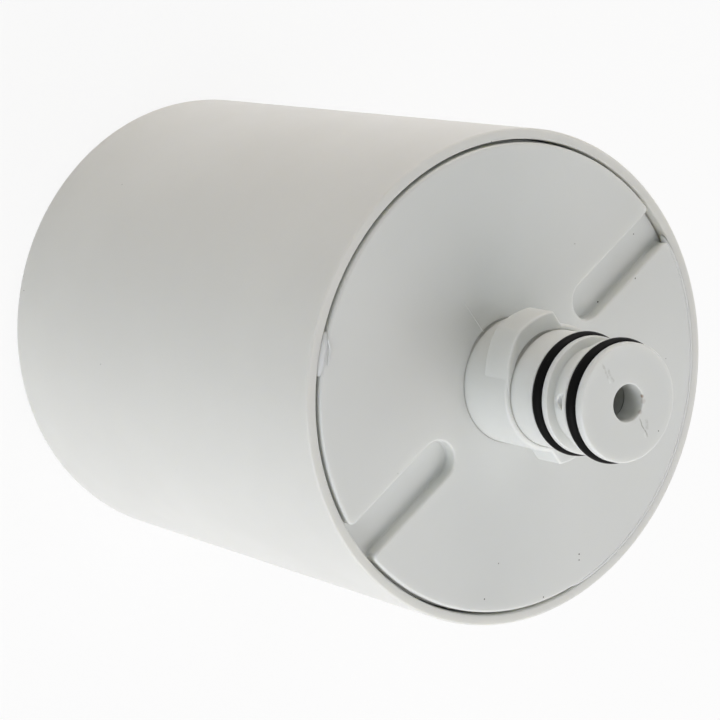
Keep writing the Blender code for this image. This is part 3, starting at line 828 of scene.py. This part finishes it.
class FILTER_OT_build_housing(bpy.types.Operator):
    """Model the moulded cup with its rim, its draft and the grip in its closed end"""

    bl_idname = "water_filter.build_housing"
    bl_label = "Build Housing"

    def well_outline(self, grown):
        """One D-shaped side of the grip, with rounded corners."""
        size = bpy.context.scene.filter_housing
        radius = size.grip_radius + grown
        edge = size.grip_bar / 2 - grown
        corner = size.grip_corner + grown
        reach = math.sqrt((radius - corner) ** 2 - (edge + corner) ** 2)
        lean = math.atan2(edge + corner, reach)
        right = [(reach + x, edge + corner + y)
                 for x, y in arc(corner, -math.pi / 2, lean, WELL_CORNER_STEPS)]
        crown = arc(radius, lean, math.pi - lean, WELL_CROWN_STEPS)[1:-1]
        left = [(-x, y) for x, y in reversed(right)]
        return right + crown + left

    def execute(self, context):
        size = context.scene.filter_housing
        outer_foot = size.radius - size.draft
        inner_foot = outer_foot - size.wall
        bore = size.radius - size.wall
        ledge = size.length - size.mouth_depth
        mouth = mouth_radius()
        housing = new_piece("housing_shell", spun([
            (0.0, size.wall),
            (inner_foot, size.wall, size.end_round),
            (bore, ledge),
            (mouth, ledge),
            (mouth, size.length, size.lip_round),
            (size.radius, size.length, size.rim_round),
            (outer_foot, 0.0, size.end_round),
            (0.0, 0.0),
        ], False, size.facets, size.round_steps))
        for side, turn in (("front", math.pi), ("back", 0.0)):
            boss = turn_points(self.well_outline(size.wall), turn)
            roof = size.grip_depth + size.wall
            combine(housing, "UNION", f"boss_{side}", lofted([level(size.wall - SINK, boss),
                                                              level(roof, boss)]))
            well = recess(self.well_outline, turn, 0.0, 1.0, size.grip_depth,
                          size.grip_rim_round, size.grip_floor_round, size.round_steps)
            combine(housing, "DIFFERENCE", f"well_{side}", well)
        settle(housing)
        soften(housing)
        finish_piece(housing, housing_finish(), "housing_plastic", "housing")
        return {"FINISHED"}


class FILTER_OT_build_end_cap(bpy.types.Operator):
    """Model the cap plate, its slots, the collar with its lugs, and the neck"""

    bl_idname = "water_filter.build_end_cap"
    bl_label = "Build End Cap"

    def profile(self, cup, cap, neck, tip):
        """Half section of the cap, from the outlet down the outside and back up inside."""
        face = face_height()
        underside = face - cap.plate
        ledge = cup.length - cup.mouth_depth
        mouth = mouth_radius()
        disc = disc_radius()
        trap_floor = face - cap.trap_depth
        skirt = cup.radius - cup.wall - cap.clearance
        skirt_bore = skirt - cap.skirt_wall
        skirt_end = ledge - cap.skirt_reach
        collar_top = face + neck.collar_height
        groove_width = neck.ring_section + neck.groove_slack
        groove_radius = neck.ring_radius - neck.ring_section - 2 * neck.groove_slack
        lower_groove = collar_top + neck.root_length
        land = lower_groove + groove_width
        waist_bottom = land + neck.mid_land
        waist_top = waist_bottom + neck.waist_length
        upper_groove = waist_top + neck.upper_land
        tip_land = tip - neck.tip_land
        relief = neck.outlet_radius + neck.outlet_relief
        tube = relief + neck.tube_wall
        inlet = groove_radius - neck.groove_wall
        inlet_shoulder = lower_groove - neck.inlet_shoulder
        inlet_ceiling = waist_top - neck.inlet_ceiling
        collar_core = neck.collar_radius - neck.collar_wall
        socket_top = underside - neck.socket_drop
        socket_end = socket_top - neck.socket_length
        socket_outer = neck.socket_radius + neck.socket_wall
        outlet_step = tip - neck.outlet_depth
        seat = socket_top - neck.socket_wall
        edge = neck.land_round
        seam = neck.seam
        return [
            (neck.outlet_radius, tip, edge),
            (neck.radius, tip, neck.tip_round),
            (neck.radius, tip_land, edge),
            (groove_radius, tip_land),
            (groove_radius, upper_groove),
            (neck.radius, upper_groove, edge),
            (neck.radius, waist_top, edge),
            (neck.waist_radius, waist_top, edge),
            (neck.waist_radius, waist_bottom, edge),
            (neck.radius, waist_bottom, edge),
            (neck.radius, land, edge),
            (groove_radius, land),
            (groove_radius, lower_groove),
            (neck.radius, lower_groove, edge),
            (neck.radius, collar_top - seam),
            (neck.radius + seam, collar_top),
            (neck.collar_radius, collar_top, neck.collar_round),
            (neck.collar_radius, face - seam),
            (neck.collar_radius + seam, face),
            (disc, face, cap.edge_round),
            (disc, trap_floor),
            (mouth - cap.clearance, trap_floor),
            (mouth - cap.clearance, ledge + cap.clearance),
            (skirt, ledge + cap.clearance),
            (skirt, skirt_end),
            (skirt_bore, skirt_end),
            (skirt_bore, underside),
            (collar_core, underside),
            (collar_core, inlet_shoulder - (collar_core - inlet)),
            (inlet, inlet_shoulder),
            (inlet, inlet_ceiling),
            (tube, inlet_ceiling),
            (tube, socket_top + (socket_outer - tube)),
            (socket_outer, socket_top),
            (socket_outer, socket_end),
            (neck.socket_radius, socket_end),
            (neck.socket_radius, seat),
            (relief, seat + (neck.socket_radius - relief)),
            (relief, outlet_step),
            (neck.outlet_radius, outlet_step),
        ]

    def inner_end(self, radius):
        """Half circle about the middle of a slot's inner end, in plan."""
        cap = bpy.context.scene.filter_cap
        middle = cap.slot_start + cap.slot_width / 2
        return [(middle + x, y)
                for x, y in arc(radius, math.pi / 2, 3 * math.pi / 2, SLOT_END_STEPS)]

    def slot_outline(self, grown):
        """A radial slot along +X: round inner end, and a mouth rounded into the disc's edge."""
        cap = bpy.context.scene.filter_cap
        half = cap.slot_width / 2
        side = half + cap.slot_mouth_round
        mouth_start = math.sqrt(disc_radius() ** 2 - side ** 2) - cap.slot_mouth_round
        corner = arc(cap.slot_mouth_round - grown, math.pi / 2, 0.0, SLOT_MOUTH_STEPS)
        lower = [(mouth_start + x, y - side) for x, y in corner]
        lower.append((mouth_radius() + SINK, -side))
        upper = [(x, -y) for x, y in reversed(lower)]
        return self.inner_end(half + grown) + lower + upper

    def pocket_outline(self):
        """The thicker plate under a slot."""
        cup = bpy.context.scene.filter_housing
        cap = bpy.context.scene.filter_cap
        half = cap.slot_width / 2 + cap.pocket_wall
        outer = cup.radius - cup.wall - cap.clearance - cap.skirt_wall + SINK
        return self.inner_end(half) + [(outer, -half), (outer, half)]

    def lug_outline(self, share):
        """Plan of one lug where its edges are rounded in by a share of their round."""
        neck = bpy.context.scene.filter_neck
        inset = neck.lug_round * share
        corner_x = neck.lug_end - neck.lug_corner
        corner_y = math.sqrt((neck.lug_radius - neck.lug_corner) ** 2 - corner_x ** 2)
        lean = math.atan2(corner_y, corner_x)
        corner = [(corner_x + x, corner_y + y)
                  for x, y in arc(neck.lug_corner - inset, 0.0, lean, LUG_CORNER_STEPS)]
        crown = arc(neck.lug_radius - inset, lean, neck.lug_crown, LUG_CURVE_STEPS)[1:]
        seat = neck.collar_radius - SINK
        ease = 1.3
        back = []
        for step in range(1, LUG_CURVE_STEPS):
            along = step / LUG_CURVE_STEPS
            softer = share * (neck.lug_round + (neck.lug_back_round - neck.lug_round) * along)
            radius = seat + (neck.lug_radius - seat - softer) * (1 - along) ** ease
            angle = neck.lug_crown + (neck.lug_foot - neck.lug_crown) * along
            back.append((radius * math.cos(angle), radius * math.sin(angle)))
        end_angle = math.acos((neck.lug_end - inset) / seat)
        return corner + crown + back + arc(seat, neck.lug_foot, end_angle, LUG_CURVE_STEPS)

    def lug(self, turn, top):
        """One lug with rounded edges, below the given height."""
        neck = bpy.context.scene.filter_neck
        edge = [(neck.lug_round * (1 - math.cos(t)), 1 - math.sin(t))
                for t in round_turns(math.pi / 2, LUG_EDGE_STEPS)]
        levels = [(top - neck.lug_height + rise, share) for rise, share in edge]
        levels += [(top - rise, share) for rise, share in reversed(edge)]
        return lofted([level(z, turn_points(self.lug_outline(share), turn))
                       for z, share in levels])

    def crevice(self, start, end, radius, height, size):
        """Cutter of a fine groove round the neck that runs out at both ends."""
        end_width = 0.15
        end_height = 0.30
        fullness = 0.6
        sections = []
        for step in range(CREVICE_STEPS + 1):
            share = step / CREVICE_STEPS
            full = math.sin(math.pi * share) ** fullness
            sections.append(oval(start + (end - start) * share, radius, height,
                                 size * (end_width + (1 - end_width) * full),
                                 size * (end_height + (1 - end_height) * full)))
        return lofted(sections)

    def port(self, neck, turn, height):
        """Cutter of a side port through the wall of the waist, with a softened rim."""
        inner = neck.outlet_radius + neck.outlet_relief + neck.tube_wall / 2
        rim = neck.waist_radius - neck.port_rim
        outer = neck.waist_radius + neck.port_rim
        flare = neck.port_radius + 2 * neck.port_rim
        stations = ((inner, neck.port_radius), (rim, neck.port_radius), (outer, flare))
        rings = []
        for reach, radius in stations:
            ring = arc(radius, 0.0, math.tau, PORT_STEPS)[:-1]
            rings.append([(reach * math.cos(turn) - side * math.sin(turn),
                           reach * math.sin(turn) + side * math.cos(turn), height + rise)
                          for side, rise in ring])
        return lofted(rings)

    def mould_line(self, cap, face):
        """A fine raised line on the plate, three quarters of it sunk in."""
        work = bmesh.new()
        length = cap.line_end - cap.line_start
        made = bmesh.ops.create_cone(work, cap_ends=True, segments=LINE_SIDES,
                                     radius1=cap.line_width / 2, radius2=cap.line_width / 2,
                                     depth=length)
        aim = Matrix.Rotation(cap.line_angle, 3, "Z") @ Matrix.Rotation(math.pi / 2, 3, "Y")
        bmesh.ops.rotate(work, verts=made["verts"], matrix=aim)
        middle = (cap.line_start + cap.line_end) / 2
        bmesh.ops.translate(work, verts=made["verts"],
                            vec=(middle * math.cos(cap.line_angle),
                                 middle * math.sin(cap.line_angle),
                                 face - cap.line_width / 4))
        return work

    def execute(self, context):
        cup = context.scene.filter_housing
        cap = context.scene.filter_cap
        neck = context.scene.filter_neck
        tip = CAP_HIGH.z
        face = face_height()
        underside = face - cap.plate
        piece = new_piece("end_cap_moulding", spun(self.profile(cup, cap, neck, tip), True,
                                                   cap.facets, cap.round_steps))
        sides = (("right", 0.0), ("left", math.pi))
        collar_top = face + neck.collar_height
        waist_top = tip - neck.tip_land - neck.ring_section - neck.groove_slack - neck.upper_land
        port_height = waist_top - neck.waist_length / 2
        for side, turn in sides:
            lug = self.lug(turn, collar_top + neck.lug_rise)
            combine(piece, "UNION", f"lug_{side}", lug)
        for name, start, end, wall, height, size in (
                ("neck_foot", 62.0, 116.0, neck.radius, collar_top, 0.0004),
                ("collar_foot", 64.0, 113.0, neck.collar_radius, face, 0.00028)):
            groove = self.crevice(math.radians(start), math.radians(end), wall + CREVICE_OUT,
                                  height, size)
            combine(piece, "DIFFERENCE", name, groove)
        for side, turn in sides:
            port = self.port(neck, neck.port_angle + turn, port_height)
            combine(piece, "DIFFERENCE", f"port_{side}", port)
        combine(piece, "UNION", "mould_line", self.mould_line(cap, face))
        for side, turn in sides:
            pocket = turn_points(self.pocket_outline(), turn)
            floor = face - cap.slot_depth - cap.pocket_wall
            combine(piece, "UNION", f"pocket_{side}", lofted([level(floor, pocket),
                                                              level(underside + SINK, pocket)]))
        for side, turn in sides:
            slot = recess(self.slot_outline, turn, face, -1.0, cap.slot_depth,
                          cap.slot_rim_round, cap.slot_floor_round, cap.round_steps)
            combine(piece, "DIFFERENCE", f"slot_{side}", slot)
        settle(piece)
        soften(piece)
        finish_piece(piece, cap_finish(face, tip), "cap_plastic", "end_cap")
        return {"FINISHED"}


class FILTER_OT_build_neck_rings(bpy.types.Operator):
    """Model the two rubber rings in the neck's grooves"""

    bl_idname = "water_filter.build_neck_rings"
    bl_label = "Build Neck Rings"

    def ring(self, neck, height):
        """A bmesh of one ring about the axis."""
        work = bmesh.new()
        made = bmesh.ops.create_circle(work, segments=neck.ring_sides,
                                       radius=neck.ring_section / 2)
        upright = Matrix.Rotation(math.pi / 2, 3, "X")
        bmesh.ops.rotate(work, verts=made["verts"], matrix=upright)
        bmesh.ops.translate(work, verts=made["verts"],
                            vec=(neck.ring_radius - neck.ring_section / 2, 0.0, height))
        spin_round(work, neck.ring_facets)
        return work

    def execute(self, context):
        neck = context.scene.filter_neck
        for place, box in (("lower", LOWER_RING), ("upper", UPPER_RING)):
            height = (box[0].z + box[1].z) / 2
            piece = new_piece(f"{place}_ring", self.ring(neck, height))
            piece.data.shade_smooth()
            finish_piece(piece, rubber_finish(f"{place}_ring_rubber"), "o_ring_rubber",
                         f"{place}_neck_o_ring")
        return {"FINISHED"}


class FILTER_OT_add_weld_flash(bpy.types.Operator):
    """Model the bead of plastic that the weld pressed into the gap round the cap"""

    bl_idname = "water_filter.add_weld_flash"
    bl_label = "Add Weld Flash"

    def filling(self, cap, disc, face, share):
        """Section of the bead that fills the gap; the share runs from -1 to 1 along it."""
        angle = cap.flash_angle + share * cap.flash_arc / 2
        drop = 0.0011
        inward = cap.trap_width * 0.2
        wide = cap.trap_width * 1.5
        tall = 0.00112
        blunt = 0.03
        full = max(blunt, 1 - share * share) ** 0.25
        lumps = 40.0
        lumpiness = 0.10
        lump = 1 + lumpiness * noise.noise(Vector((angle * lumps, 0.0, 0.0)))
        return oval(angle, disc - inward, face - drop, wide * full * lump, tall * full)

    def seal(self, cap, disc, face, share):
        """Section of the low bead that closes the gap on the side where the cap sits tight."""
        angle = cap.seal_angle + share * cap.seal_arc / 2
        drop = 0.0012
        outward = cap.trap_width * 0.3
        wide = cap.trap_width * 1.1
        tall = 0.00104
        taper = 0.96
        full = (1 - taper * share ** 16) ** 0.5
        return oval(angle, disc + outward, face - drop, wide * full, tall * full)

    def burr(self, cap, disc, face, share):
        """Section of the raised burr on the plate's edge beside the bead."""
        reach = 0.30
        aside = 0.06
        angle = cap.flash_angle + (share * reach - aside) * cap.flash_arc
        wide = 0.00022
        tall = 0.00026
        blunt = 0.02
        full = math.sqrt(max(blunt, 1 - share * share))
        bend = 0.5
        inward = 0.0009 - 0.0008 * math.exp(-((share + 1) / bend) ** 2)
        return oval(angle, disc - inward, face, wide * full, tall * full)

    def bead(self, section, steps):
        """A bmesh of one bead through its sections."""
        cap = bpy.context.scene.filter_cap
        return lofted([section(cap, disc_radius(), face_height(), 2 * step / steps - 1)
                       for step in range(steps + 1)])

    def execute(self, context):
        filling, burr, seal = [self.bead(section, steps)
                               for section, steps in ((self.filling, FLASH_STEPS),
                                                      (self.burr, FLASH_STEPS),
                                                      (self.seal, SEAL_STEPS))]
        piece = new_piece("weld_flash", filling)
        combine(piece, "UNION", "burr", burr)
        combine(piece, "UNION", "seal", seal)
        settle(piece)
        piece.data.shade_smooth()
        finish_piece(piece, flash_finish(), "cap_plastic")
        return {"FINISHED"}


class FILTER_OT_finish_element(bpy.types.Operator):
    """Give the filter element sealed in the housing its finishes"""

    bl_idname = "water_filter.finish_element"
    bl_label = "Finish Filter Element"

    def execute(self, context):
        plastic = element_finish()
        glue = glue_finish()
        finishes = {
            "carbon_block": carbon_finish(),
            "prefilter_wrap": fleece_finish(),
            "upper_block_cap": plastic,
            "lower_block_cap": plastic,
            "upper_glue_bed": glue,
            "lower_glue_bed": glue,
            "spigot_o_ring": rubber_finish("spigot_ring_rubber"),
        }
        for name, material in finishes.items():
            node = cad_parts[name]
            node.data.materials.clear()
            node.data.materials.append(material)
        return {"FINISHED"}


class FILTER_OT_build_stage(bpy.types.Operator):
    """Add the floor, the studio lamps, the room and the camera"""

    bl_idname = "water_filter.build_stage"
    bl_label = "Build Stage"

    def background_rays(self, tree):
        """1 for the rays that show the plain background: camera, glossy and transmitted."""
        path = tree.nodes.new("ShaderNodeLightPath")
        result = path.outputs["Is Camera Ray"]
        for name in ("Is Glossy Ray", "Is Transmission Ray"):
            either = tree.nodes.new("ShaderNodeMath")
            either.operation = "MAXIMUM"
            tree.links.new(result, either.inputs[0])
            tree.links.new(path.outputs[name], either.inputs[1])
            result = either.outputs["Value"]
        return result

    def floor(self, stage):
        """A wide pale floor, nearly white to the camera, that keeps the object's shadow."""
        work = bmesh.new()
        bmesh.ops.create_grid(work, x_segments=1, y_segments=1, size=stage.floor_size / 2)
        floor = new_piece("floor", work)
        material = bpy.data.materials.new("floor_paper")
        material.use_nodes = True
        tree = material.node_tree
        shader = tree.nodes["Principled BSDF"]
        shader.inputs["Base Color"].default_value = (*stage.floor_colour, 1.0)
        shader.inputs["Roughness"].default_value = 1.0
        shader.inputs["Specular IOR Level"].default_value = 0.0
        glow = tree.nodes.new("ShaderNodeEmission")
        glow.inputs["Strength"].default_value = stage.backdrop
        keep = tree.nodes.new("ShaderNodeMath")
        keep.operation = "MULTIPLY"
        keep.inputs[1].default_value = stage.floor_glow
        tree.links.new(self.background_rays(tree), keep.inputs[0])
        mix = tree.nodes.new("ShaderNodeMixShader")
        tree.links.new(keep.outputs["Value"], mix.inputs["Fac"])
        tree.links.new(shader.outputs["BSDF"], mix.inputs[1])
        tree.links.new(glow.outputs["Emission"], mix.inputs[2])
        tree.links.new(mix.outputs["Shader"], tree.nodes["Material Output"].inputs["Surface"])
        floor.data.materials.append(material)

    def room(self, stage):
        """A dim even light from all sides, behind which the background is white."""
        world = bpy.data.worlds.new("studio_room")
        world.use_nodes = True
        bpy.context.scene.world = world
        tree = world.node_tree
        dim = tree.nodes["Background"]
        dim.inputs["Strength"].default_value = stage.ambient
        dim.inputs["Color"].default_value = (*stage.room_colour, 1.0)
        white = tree.nodes.new("ShaderNodeBackground")
        white.inputs["Color"].default_value = (1.0, 1.0, 1.0, 1.0)
        white.inputs["Strength"].default_value = stage.backdrop
        mix = tree.nodes.new("ShaderNodeMixShader")
        tree.links.new(self.background_rays(tree), mix.inputs["Fac"])
        tree.links.new(dim.outputs["Background"], mix.inputs[1])
        tree.links.new(white.outputs["Background"], mix.inputs[2])
        tree.links.new(mix.outputs["Shader"], tree.nodes["World Output"].inputs["Surface"])

    def lamp(self, name, azimuth, elevation, size, watts, colour):
        """A square softbox aimed at the cartridge, with its direction in degrees."""
        azimuth = math.radians(azimuth)
        elevation = math.radians(elevation)
        away = Vector((math.cos(azimuth) * math.cos(elevation),
                       math.sin(azimuth) * math.cos(elevation), math.sin(elevation)))
        light = bpy.data.lights.new(name, "AREA")
        light.shape = "SQUARE"
        light.size = size
        light.energy = watts
        light.color = colour
        lamp = bpy.data.objects.new(name, light)
        bpy.context.scene.collection.objects.link(lamp)
        lamp.location = Vector(LAMP_TARGET) + away * LAMP_DISTANCE
        lamp.rotation_mode = "QUATERNION"
        lamp.rotation_quaternion = (-away).to_track_quat("-Z", "Y")
        lamp.visible_camera = False

    def camera(self, stage):
        """The camera at the photograph's place and angle."""
        data = bpy.data.cameras.new("camera")
        data.sensor_width = SENSOR_WIDTH
        data.lens = stage.lens
        camera = bpy.data.objects.new("camera", data)
        bpy.context.scene.collection.objects.link(camera)
        back = Vector((math.sin(stage.azimuth) * math.cos(stage.elevation),
                       -math.cos(stage.azimuth) * math.cos(stage.elevation),
                       math.sin(stage.elevation)))
        aim = (-back).to_track_quat("-Z", "Y").to_matrix().to_4x4()
        camera.matrix_world = (Matrix.Translation(stage.place) @ aim
                               @ Matrix.Rotation(stage.roll, 4, "Z"))
        bpy.context.scene.camera = camera

    def execute(self, context):
        stage = context.scene.filter_stage
        self.floor(stage)
        self.room(stage)
        self.lamp("key_softbox", 250.0, 45.0, 0.8, 3.5, (1.0, 0.93, 0.93))
        self.lamp("side_softbox", 180.0, 8.0, 0.8, 7.1, (0.93, 0.95, 1.0))
        self.lamp("top_softbox", 0.0, 85.0, 0.8, 0.9, (0.85, 0.90, 1.0))
        self.lamp("back_softbox", 300.0, 40.0, 0.8, 1.75, (0.90, 0.95, 1.0))
        self.lamp("rim_softbox", 40.0, 8.0, 0.5, 4.3, (1.0, 0.93, 0.90))
        self.camera(stage)
        context.scene.view_settings.view_transform = "Standard"
        return {"FINISHED"}


class FILTER_PT_cartridge(bpy.types.Panel):
    """Lists the steps that build the cartridge and its stage"""

    bl_idname = "FILTER_PT_cartridge"
    bl_label = "Water Filter"
    bl_space_type = "VIEW_3D"
    bl_region_type = "UI"
    bl_category = "Water Filter"

    def draw(self, context):
        for operator in OPERATORS:
            self.layout.operator(operator.bl_idname)


SETTINGS = {
    "filter_housing": HousingSettings,
    "filter_cap": CapSettings,
    "filter_neck": NeckSettings,
    "filter_finish": FinishSettings,
    "filter_stage": StageSettings,
}
OPERATORS = (
    FILTER_OT_build_housing,
    FILTER_OT_build_end_cap,
    FILTER_OT_build_neck_rings,
    FILTER_OT_add_weld_flash,
    FILTER_OT_finish_element,
    FILTER_OT_build_stage,
)


def register():
    for name, settings in SETTINGS.items():
        bpy.utils.register_class(settings)
        setattr(bpy.types.Scene, name, bpy.props.PointerProperty(type=settings))
    for operator in OPERATORS:
        bpy.utils.register_class(operator)
    bpy.utils.register_class(FILTER_PT_cartridge)


def unregister():
    bpy.utils.unregister_class(FILTER_PT_cartridge)
    for operator in reversed(OPERATORS):
        bpy.utils.unregister_class(operator)
    for name, settings in reversed(SETTINGS.items()):
        delattr(bpy.types.Scene, name)
        bpy.utils.unregister_class(settings)


def main():
    """Builds every piece and the stage."""
    register()
    bpy.ops.water_filter.build_housing()
    bpy.ops.water_filter.build_end_cap()
    bpy.ops.water_filter.build_neck_rings()
    bpy.ops.water_filter.add_weld_flash()
    bpy.ops.water_filter.finish_element()
    bpy.ops.water_filter.build_stage()


if __name__ == "__main__":
    main()
